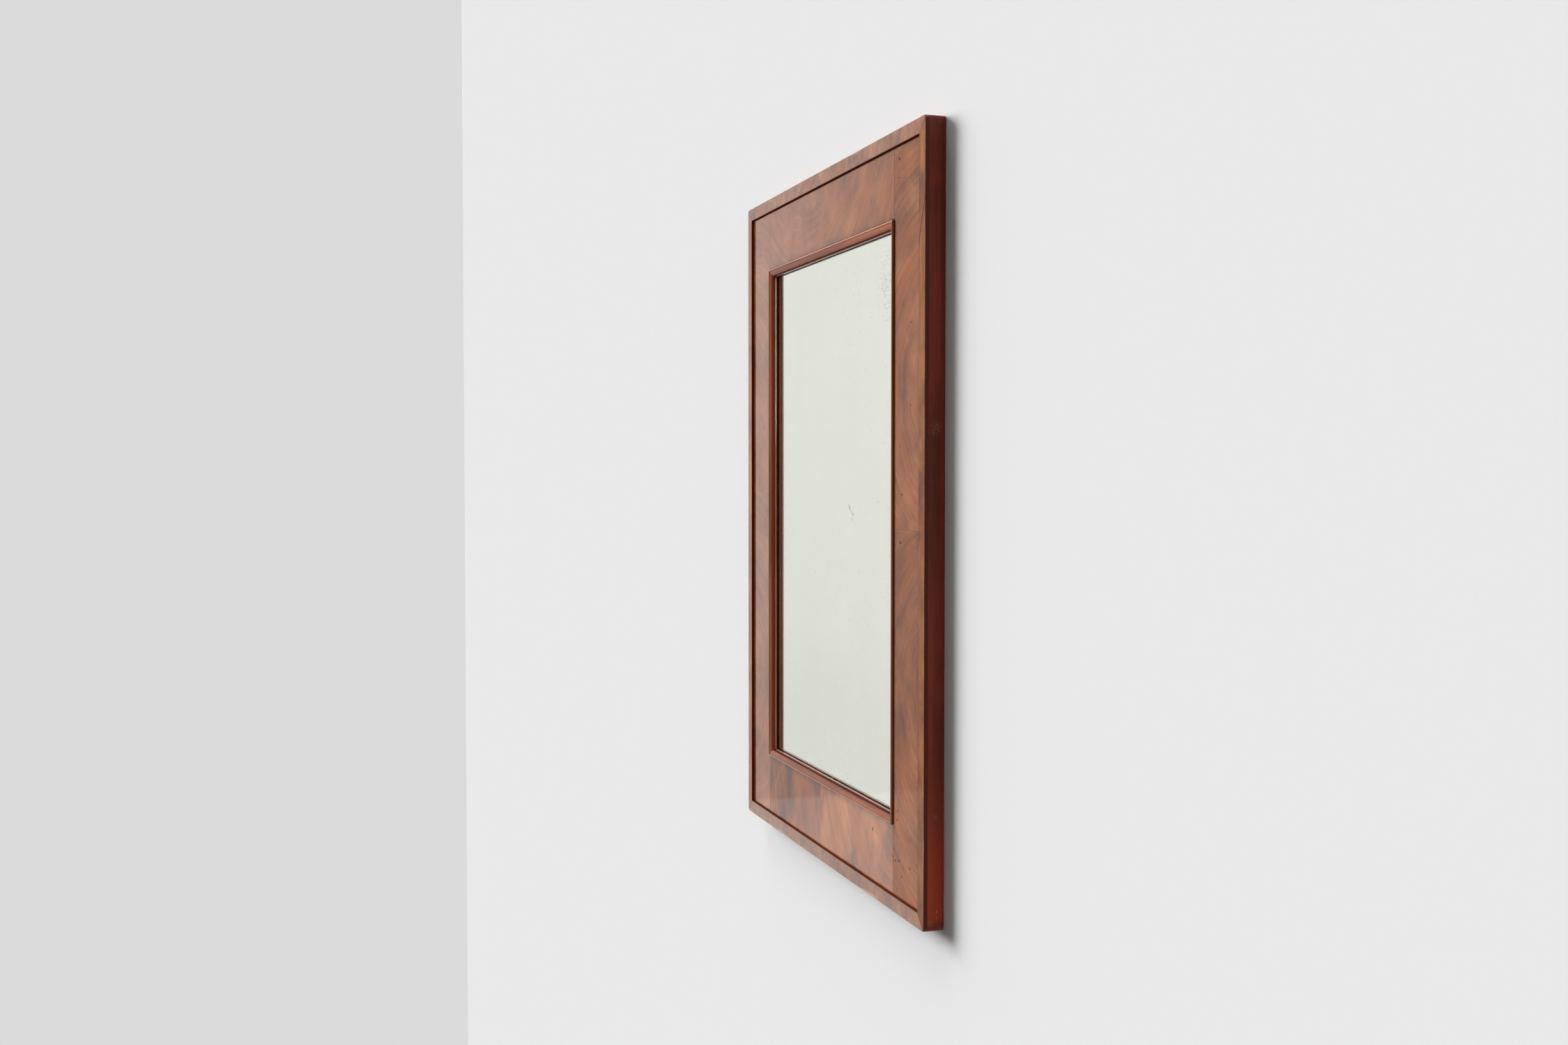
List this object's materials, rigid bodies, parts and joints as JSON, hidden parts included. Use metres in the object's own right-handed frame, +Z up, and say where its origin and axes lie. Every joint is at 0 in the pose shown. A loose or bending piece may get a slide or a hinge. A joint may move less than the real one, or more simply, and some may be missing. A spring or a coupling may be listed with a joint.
{
  "type": "wall mirror",
  "caption": "Rectangular wall mirror: flat veneered frame with a raised border, a moulded sight edge round the plate, and swinging rings behind to hang it.",
  "frame": {"origin": "centre of the back, in the plane that lies against the wall", "axes": "+X to the right seen from the front, +Y from the front to the wall, +Z up"},
  "size_m": [0.68, 0.024, 0.9],
  "materials": {
    "field_veneer": "polished figured mahogany veneer",
    "border": "polished cross-grained mahogany",
    "edge_veneer": "dark red stained mahogany veneer",
    "moulding": "polished mahogany moulding",
    "carcase": "bare aged softwood",
    "pegs": "bare hardwood pegs",
    "packing": "sawn softwood",
    "backboard": "aged pine boards",
    "nails": "dark oxidised iron",
    "glass": "old clear plate glass",
    "silvering": "silvered back of the plate",
    "hanger": "aged brass",
    "screws": "slotted steel screws"
  },
  "bodies": {
    "mirror": {"backboard_left": "backboard", "backboard_middle": "backboard", "backboard_nails": "nails", "backboard_right": "backboard", "band_bottom": "border", "band_left": "border", "band_right": "border", "band_top": "border", "core_rail_bottom": "carcase", "core_rail_top": "carcase", "core_stile_left": "carcase", "core_stile_right": "carcase", "facing_bottom": "edge_veneer", "facing_left": "edge_veneer", "facing_right": "edge_veneer", "facing_top": "edge_veneer", "hanger_plate_left": "hanger", "hanger_plate_right": "hanger", "hanger_screws": "screws", "joint_pegs": "pegs", "mirror_glass": "glass", "moulding_bottom": "moulding", "moulding_left": "moulding", "moulding_right": "moulding", "moulding_top": "moulding", "packing_bottom": "packing", "packing_left": "packing", "packing_right": "packing", "packing_top": "packing", "setting_block_left": "packing", "setting_block_right": "packing", "silvering": "silvering", "veneer_rail_bottom": "field_veneer", "veneer_rail_top": "field_veneer", "veneer_stile_left": "field_veneer", "veneer_stile_right": "field_veneer"},
    "ring_left": {"hanger_ring_left": "hanger"},
    "ring_right": {"hanger_ring_right": "hanger"}
  },
  "joints": [
    {"name": "ring_left_swing", "type": "hinge", "parent": "mirror", "child": "ring_left", "pos_m": [-0.15, -0.0047, 0.414], "axis": [1, 0, 0], "range_deg": [0, 180]},
    {"name": "ring_right_swing", "type": "hinge", "parent": "mirror", "child": "ring_right", "pos_m": [0.15, -0.0047, 0.414], "axis": [1, 0, 0], "range_deg": [0, 180]}
  ]
}
